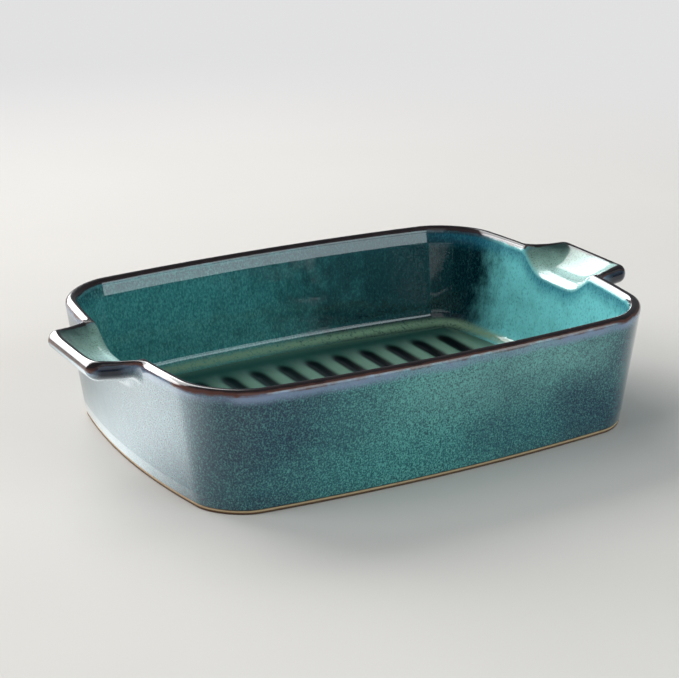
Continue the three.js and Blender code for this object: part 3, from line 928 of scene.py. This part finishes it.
def reactive_glaze(name, base_of_inside, coat_weight, coat_roughness):
    """One glossy glaze: teal outside, its own colour inside, sage where it pools, brown on the rim."""
    finish = Finish(name)
    wander = finish.times(finish.math("SUBTRACT", finish.noise(9, 3), 0.5), RIM_WANDER)
    inside = finish.fact("inside")
    reach = finish.math("SUBTRACT", 1.0, finish.times(inside, 0.35))
    rim = finish.times(finish.math("ADD", finish.fact("rim"), wander), reach)
    colour = finish.mix(inside, outer_colour(finish), base_of_inside(finish))
    grain = finish.between(finish.noise(2.0, 2), 0.1, 0.55)
    colour = finish.mix(finish.times(finish.fact("sage"), grain), colour, SAGE)
    outside = finish.math("SUBTRACT", 1.0, inside)
    patchy = finish.between(finish.noise(30, 2), 0.3, 0.7)
    mauve = finish.times(finish.between(rim, *MAUVE_REACH), outside)
    mauve = finish.times(mauve, finish.math("MULTIPLY_ADD", patchy, 0.55, 0.4))
    colour = finish.mix(mauve, colour, MAUVE)
    edge = finish.mix(inside, BROWN, INK)
    colour = finish.mix(finish.between(rim, *BROWN_REACH), colour, edge)
    colour = finish.mix(finish.fact("scoop"), colour, scoop_colour(finish))
    # painted shade on a handle's sides and underside
    colour = finish.mix(finish.fact("painted_shade"), colour, SHADE_NAVY)
    colour = finish.mix(finish.between(rim, *BLACK_REACH), colour, BLACK_BROWN)
    foot_edge = finish.between(finish.axis("Z"), *GLAZE_FOOT)
    colour = finish.mix(foot_edge, colour, BLACK_BROWN)
    finish.feed(finish.shader.inputs["Base Color"], colour)
    finish.shader.inputs["Roughness"].default_value = 0.22
    finish.shader.inputs["IOR"].default_value = 1.5
    finish.shader.inputs["Specular IOR Level"].default_value = 0.05
    finish.shader.inputs["Coat Weight"].default_value = coat_weight
    finish.shader.inputs["Coat Roughness"].default_value = coat_roughness
    finish.shader.inputs["Coat IOR"].default_value = 1.52
    swell = finish.bump(finish.noise(26, 2), 0.25)
    pits = finish.bump(finish.noise(1.8, 3), 0.006, swell)
    finish.links.new(pits, finish.shader.inputs["Normal"])
    finish.links.new(swell, finish.shader.inputs["Coat Normal"])
    return finish.material


def bare_clay():
    """Tan unglazed stoneware with darker grains, and a painted contact shadow where it meets the table.
    """
    finish = Finish("bare_clay")
    grain = finish.noise(1.2, 4, roughness=0.7)
    tan = finish.mix(finish.noise(14, 3), CLAY, PALE_CLAY)
    # painted contact shadow at the bottom of the foot
    tan = finish.mix(finish.between(finish.axis("Z"), *CONTACT_SHADOW_HEIGHTS), tan, CLAY_CONTACT_SHADOW)
    colour = finish.mix(finish.between(grain, 0.62, 0.75), tan, CLAY_GRAIN)
    finish.feed(finish.shader.inputs["Base Color"], colour)
    finish.shader.inputs["Roughness"].default_value = 0.85
    finish.links.new(finish.bump(grain, 0.15), finish.shader.inputs["Normal"])
    return finish.material


# Worktop and backdrop
WORKTOP = linear((217, 213, 208))
PALE_WORKTOP = linear((224, 220, 215))
BACKDROP = linear((225, 225, 226))
FLOOR_SIZE = 12.0
FLOOR_FADE = (0.4, 1.2)  # metres from the dish over which the worktop runs out


def pale_floor():
    """A plain pale worktop that, to the camera, runs out into an even backdrop."""
    finish = Finish("pale_floor")
    shade = finish.noise(220, 3)
    colour = finish.mix(shade, WORKTOP, PALE_WORKTOP)
    finish.feed(finish.shader.inputs["Base Color"], colour)
    finish.shader.inputs["Roughness"].default_value = 0.6
    finish.shader.inputs["Specular IOR Level"].default_value = 0.0
    reach = finish.nodes.new("ShaderNodeVectorMath")
    reach.operation = "LENGTH"
    finish.feed(reach.inputs[0], finish.place)
    far = finish.between(reach.outputs["Value"], *FLOOR_FADE)
    seen = finish.nodes.new("ShaderNodeLightPath").outputs["Is Camera Ray"]
    even = finish.nodes.new("ShaderNodeEmission")
    even.inputs["Color"].default_value = BACKDROP
    blend = finish.nodes.new("ShaderNodeMixShader")
    finish.feed(blend.inputs[0], finish.times(far, seen))
    finish.feed(blend.inputs[1], finish.shader.outputs[0])
    finish.feed(blend.inputs[2], even.outputs[0])
    finish.feed(finish.nodes["Material Output"].inputs["Surface"], blend.outputs[0])
    return finish.material


# Scene
CAMERA_PLACE = (-0.5553, -0.9647, 0.4478)
CAMERA_TARGET = (0.00925, 0.03204, 0.03859)
CAMERA_LENS = 99.84
CAMERA_SENSOR = 36.0
AMBIENT = (0.86, 0.9, 0.95, 1)
AMBIENT_STRENGTH = 0.15
LAMP_DISTANCE = 3.2
LAMP_TARGET = (0, 0, 0.04)
WHITE = (1, 1, 1)
COOL_WHITE = (0.8, 0.96, 1.0)
CARD_WHITE = (0.88, 0.97, 1.0)
CARD_HEIGHT = 0.001
CARD_FADE = (0.4, 0.33)  # shares of a card over which its light fades in at its back and front
CARD_SIDE_FADE = (0.2, 0.4)  # and at its far side and the side by the dish
SOFTBOX_FADE = (0.12, 0.12)


def aim(item, target):
    direction = Vector(target) - item.location
    item.rotation_euler = direction.to_track_quat("-Z", "Y").to_euler()


def make_camera():
    camera = bpy.data.objects.new("camera", bpy.data.cameras.new("camera"))
    camera.data.lens = CAMERA_LENS
    camera.data.sensor_width = CAMERA_SENSOR
    camera.location = CAMERA_PLACE
    bpy.context.scene.collection.objects.link(camera)
    aim(camera, CAMERA_TARGET)
    bpy.context.scene.camera = camera


def make_floor_plane():
    half = FLOOR_SIZE / 2
    mesh = bpy.data.meshes.new("stage_floor")
    corners = [(-half, -half, 0), (half, -half, 0), (half, half, 0), (-half, half, 0)]
    mesh.from_pydata(corners, [], [(0, 1, 2, 3)])
    mesh.materials.append(pale_floor())
    plane = bpy.data.objects.new("stage_floor", mesh)
    bpy.context.scene.collection.objects.link(plane)


def fade_edges(light, across, along):
    """Lets a lamp's light fade in from its edges, over a share of its size at each end."""
    light.use_nodes = True
    nodes, links = light.node_tree.nodes, light.node_tree.links
    place = nodes.new("ShaderNodeSeparateXYZ")
    links.new(nodes.new("ShaderNodeNewGeometry").outputs["Parametric"], place.inputs[0])
    strength = None
    for axis, (start, end) in (("X", across), ("Y", along)):
        for edge, share in ((0.0, start), (1.0, end)):
            fade = nodes.new("ShaderNodeMapRange")
            fade.interpolation_type = "SMOOTHSTEP"
            low, high = sorted((edge, abs(edge - share)))
            fade.inputs["From Min"].default_value = low
            fade.inputs["From Max"].default_value = high
            fade.inputs["To Min"].default_value = edge
            fade.inputs["To Max"].default_value = 1 - edge
            links.new(place.outputs[axis], fade.inputs["Value"])
            if strength is None:
                strength = fade.outputs["Result"]
                continue
            both = nodes.new("ShaderNodeMath")
            both.operation = "MULTIPLY"
            links.new(strength, both.inputs[0])
            links.new(fade.outputs["Result"], both.inputs[1])
            strength = both.outputs[0]
    links.new(strength, nodes["Emission"].inputs["Strength"])


def make_lamp(name, size, radiance, colour):
    """A rectangular lamp with this radiance in its middle, hidden from the camera."""
    light = bpy.data.lights.new(name, "AREA")
    light.shape = "RECTANGLE"
    light.size, light.size_y = size
    light.energy = radiance * math.pi * size[0] * size[1]
    light.color = colour
    lamp = bpy.data.objects.new(name, light)
    lamp.visible_camera = False
    bpy.context.scene.collection.objects.link(lamp)
    return lamp


def make_softbox(name, azimuth, elevation, spread, radiance, colour=WHITE, lights=True, gleams=True):
    """A soft lamp aimed at the dish, which may only light it or only show in its gloss.

    Angles are degrees: azimuth is clockwise from +Y, and spread is how wide and high the lamp looks.
    """
    turn, rise = math.radians(azimuth), math.radians(elevation)
    size = [2 * LAMP_DISTANCE * math.tan(math.radians(angle) / 2) for angle in spread]
    lamp = make_lamp(name, size, radiance, colour)
    lamp.location = (
        LAMP_DISTANCE * math.sin(turn) * math.cos(rise),
        LAMP_DISTANCE * math.cos(turn) * math.cos(rise),
        LAMP_DISTANCE * math.sin(rise),
    )
    lamp.visible_diffuse = lights
    lamp.visible_glossy = gleams
    aim(lamp, LAMP_TARGET)
    fade_edges(lamp.data, SOFTBOX_FADE, SOFTBOX_FADE)


def make_card(name, middle, size, turn, radiance, colour):
    """A lit card lying beside the dish, turned so many degrees, that only shows in its gloss."""
    card = make_lamp(name, size, radiance, colour)
    card.location = (*middle, CARD_HEIGHT)
    card.rotation_euler = (math.pi, 0, math.radians(turn))
    card.visible_diffuse = False
    fade_edges(card.data, CARD_SIDE_FADE, CARD_FADE)


def light_scene():
    world = bpy.data.worlds.new("studio")
    bpy.context.scene.world = world
    world.use_nodes = True
    nodes, links = world.node_tree.nodes, world.node_tree.links
    ambient = nodes["Background"]
    ambient.inputs["Color"].default_value = AMBIENT
    ambient.inputs["Strength"].default_value = AMBIENT_STRENGTH
    backdrop = nodes.new("ShaderNodeBackground")
    backdrop.inputs["Color"].default_value = BACKDROP
    path = nodes.new("ShaderNodeLightPath")
    choose = nodes.new("ShaderNodeMixShader")
    links.new(path.outputs["Is Camera Ray"], choose.inputs[0])
    links.new(ambient.outputs[0], choose.inputs[1])
    links.new(backdrop.outputs[0], choose.inputs[2])
    links.new(choose.outputs[0], nodes["World Output"].inputs["Surface"])

    make_softbox("window_back_left", -10, 37, (54, 38), 5.4)
    make_softbox("window_low_left", -27, 13, (36, 20), 7.0)
    make_softbox("gleam_back_left", -17, 25, (62, 30), 9.5, lights=False)
    make_softbox("window_left", -84, 40, (38, 38), 3.4, gleams=False)
    make_softbox("window_front_right", 152, 12, (42, 18), 4.0, COOL_WHITE)
    make_softbox("window_top_right", 150, 29, (42, 15), 4.2, COOL_WHITE)
    make_softbox("room_front_left", -165, 38, (40, 40), 0.6)
    make_card("card_left", (-0.27, 0.06), (0.28, 0.44), 29.5, 2.9, CARD_WHITE)
    bpy.context.scene.view_settings.view_transform = "Standard"


def main():
    places, wall_ranges = ring_stations()
    grid, facts = wall_grid(places)
    normals = grid_normals(grid, True, False)
    handle_points, handle_facts = handle_rows()
    directions = blend_roots(grid, normals, handle_points)

    wall_glaze = reactive_glaze("reactive_glaze", inner_colour, coat_weight=1.0, coat_roughness=0.04)
    floor_glaze = reactive_glaze("floor_glaze", floor_colour, coat_weight=0.4, coat_roughness=0.3)
    for node, stations in wall_ranges.items():
        side = node.removeprefix("wall_")
        make_wall(f"{side}_wall", node, stations, grid, normals, facts, wall_glaze)
    for side, turned in (("right", False), ("left", True)):
        node = f"handle_{side}"
        make_handle(f"{side}_handle", node, handle_points, directions, handle_facts, turned, wall_glaze)
    cove_top = FLOOR_TOP + COVE_RADIUS * (1 - math.sin(LEAN_ANGLE))
    toe_inset = outside_inset(cove_top) + WALL_THICKNESS + COVE_RADIUS * math.cos(LEAN_ANGLE)
    make_floor(places, toe_inset, floor_glaze, wall_glaze)
    make_foot(places, bare_clay())

    make_floor_plane()
    make_camera()
    light_scene()


main()
